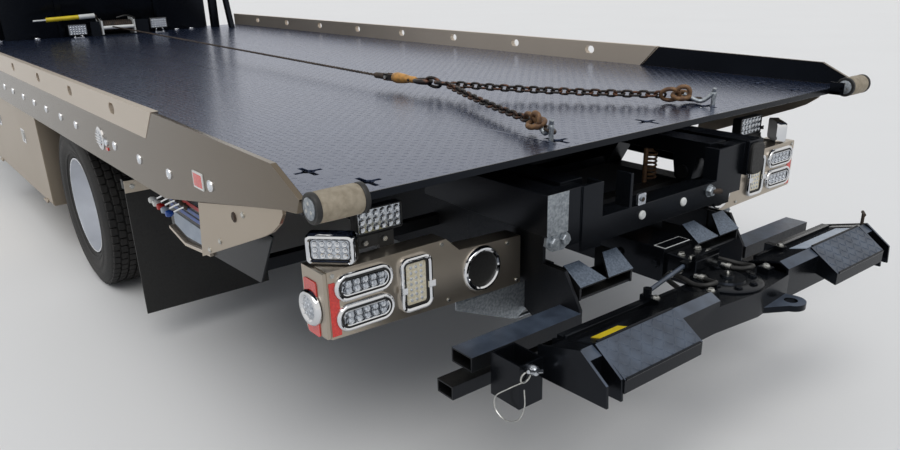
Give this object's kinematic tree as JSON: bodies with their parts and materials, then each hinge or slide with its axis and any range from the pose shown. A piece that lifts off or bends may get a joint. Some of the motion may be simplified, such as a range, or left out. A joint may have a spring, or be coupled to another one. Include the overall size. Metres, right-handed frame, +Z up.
{
  "type": "flatbed tow truck",
  "caption": "Slide-back flatbed tow truck with tilting deck, winch, side rails and a wheel lift stowed at the tail.",
  "frame": {"origin": "centre of the bounding box on the ground", "axes": "+X forward, +Y to the truck's left, +Z up"},
  "size_m": [9.636, 2.615, 2.375],
  "materials": {
    "body_black": "gloss",
    "frame_black": "satin",
    "stainless": "satin",
    "alloy": "polished",
    "chrome": "polished",
    "tyre": "matte",
    "glass": "clear",
    "trim": "matte",
    "lens": "gloss",
    "rubber": "matte",
    "zinc": "satin",
    "iron": "rough"
  },
  "bodies": {
    "chassis": {"chassis_frame": "frame_black", "axles": "iron", "engine_driveline": "iron", "cab_shell": "body_black", "cab_glass": "glass", "cab_interior": "trim", "front_bumper": "chrome", "fuel_tanks": "alloy", "tail_lamp_panels": "stainless", "tail_lamps": "lens", "control_panel": "stainless", "side_toolboxes": "stainless", "mudflaps": "rubber"},
    "hood": {"hood_shell": "body_black", "headlamps": "glass"},
    "door_left": {"door_left": "body_black", "door_glass_left": "glass"},
    "door_right": {"door_right": "body_black", "door_glass_right": "glass"},
    "toolbox_door_left": {"toolbox_door_left": "stainless"},
    "toolbox_door_right": {"toolbox_door_right": "stainless"},
    "knuckle_left": {"knuckle_left": "iron"},
    "knuckle_right": {"knuckle_right": "iron"},
    "front_wheel_left": {"front_tyre_left": "tyre", "front_rim_left": "alloy"},
    "front_wheel_right": {"front_tyre_right": "tyre", "front_rim_right": "alloy"},
    "rear_wheels_left": {"rear_tyres_left": "tyre", "rear_rims_left": "alloy"},
    "rear_wheels_right": {"rear_tyres_right": "tyre", "rear_rims_right": "alloy"},
    "subframe": {"subframe": "frame_black"},
    "tilt_barrels": {"tilt_barrels": "frame_black"},
    "tilt_rods": {"tilt_rods": "chrome"},
    "deck": {"deck_floor": "frame_black", "deck_frame": "frame_black", "side_rails": "stainless", "corner_rollers": "rubber", "headboard": "frame_black", "winch": "iron", "winch_rigging": "zinc", "deck_lamps": "lens"},
    "boom": {"boom_outer": "frame_black"},
    "boom_extension": {"boom_inner": "frame_black", "crossbar": "frame_black"}
  },
  "joints": [
    {"name": "steer_left", "type": "hinge", "parent": "chassis", "child": "knuckle_left", "pos_m": [3.968, 0.85, 0.4215], "axis": [0, 0, 1], "range_deg": [-35, 35]},
    {"name": "front_spin_left", "type": "hinge", "parent": "knuckle_left", "child": "front_wheel_left", "pos_m": [3.968, 1.01, 0.4215], "axis": [0, 1, 0], "continuous": true},
    {"name": "rear_spin_left", "type": "hinge", "parent": "chassis", "child": "rear_wheels_left", "pos_m": [-1.692, 0.9775, 0.4215], "axis": [0, 1, 0], "continuous": true},
    {"name": "door_left_swing", "type": "hinge", "parent": "chassis", "child": "door_left", "pos_m": [3.178, 1.042, 1.2], "axis": [0, 0, -1], "range_deg": [0, 68]},
    {"name": "toolbox_left_drop", "type": "hinge", "parent": "chassis", "child": "toolbox_door_left", "pos_m": [-0.272, 1.268, 0.3], "axis": [-1, 0, 0], "range_deg": [0, 90]},
    {"name": "steer_right", "type": "hinge", "parent": "chassis", "child": "knuckle_right", "pos_m": [3.968, -0.85, 0.4215], "axis": [0, 0, 1], "range_deg": [-35, 35]},
    {"name": "front_spin_right", "type": "hinge", "parent": "knuckle_right", "child": "front_wheel_right", "pos_m": [3.968, -1.01, 0.4215], "axis": [0, 1, 0], "continuous": true},
    {"name": "rear_spin_right", "type": "hinge", "parent": "chassis", "child": "rear_wheels_right", "pos_m": [-1.692, -0.9775, 0.4215], "axis": [0, 1, 0], "continuous": true},
    {"name": "door_right_swing", "type": "hinge", "parent": "chassis", "child": "door_right", "pos_m": [3.178, -1.042, 1.2], "axis": [0, 0, 1], "range_deg": [0, 68]},
    {"name": "toolbox_right_drop", "type": "hinge", "parent": "chassis", "child": "toolbox_door_right", "pos_m": [-0.272, -1.268, 0.3], "axis": [1, 0, 0], "range_deg": [0, 90]},
    {"name": "hood_tilt", "type": "hinge", "parent": "chassis", "child": "hood", "pos_m": [4.698, 0, 0.8], "axis": [0, 1, 0], "range_deg": [0, 65]},
    {"name": "deck_tilt", "type": "hinge", "parent": "chassis", "child": "subframe", "pos_m": [-4.202, 0, 0.8], "axis": [0, -1, 0], "range_deg": [0, 12]},
    {"name": "tilt_barrel_swing", "type": "hinge", "parent": "chassis", "child": "tilt_barrels", "pos_m": [-0.752, 0.5, 0.43], "axis": [0, -1, 0], "range_deg": [0, 34.33]},
    {"name": "tilt_rod_slide", "type": "slide", "parent": "tilt_barrels", "child": "tilt_rods", "axis": [0.9108, 0, 0.4129], "range_m": [0, 0.54661]},
    {"name": "deck_slide", "type": "slide", "parent": "subframe", "child": "deck", "axis": [-1, 0, 0], "range_m": [0, 3.55]},
    {"name": "lift_tilt", "type": "hinge", "parent": "chassis", "child": "boom", "pos_m": [-3.352, 0, 0.6], "axis": [0, -1, 0], "range_deg": [0, 12]},
    {"name": "lift_extend", "type": "slide", "parent": "boom", "child": "boom_extension", "axis": [-1, 0, 0], "range_m": [0, 0.9]}
  ],
  "couplings": [
    {"joint": "steer_right", "follows": "steer_left", "ratio": 1},
    {"joint": "tilt_barrel_swing", "follows": "deck_tilt", "ratio": 2.8606},
    {"joint": "tilt_rod_slide", "follows": "deck_tilt", "m_per_rad": 2.6099}
  ]
}
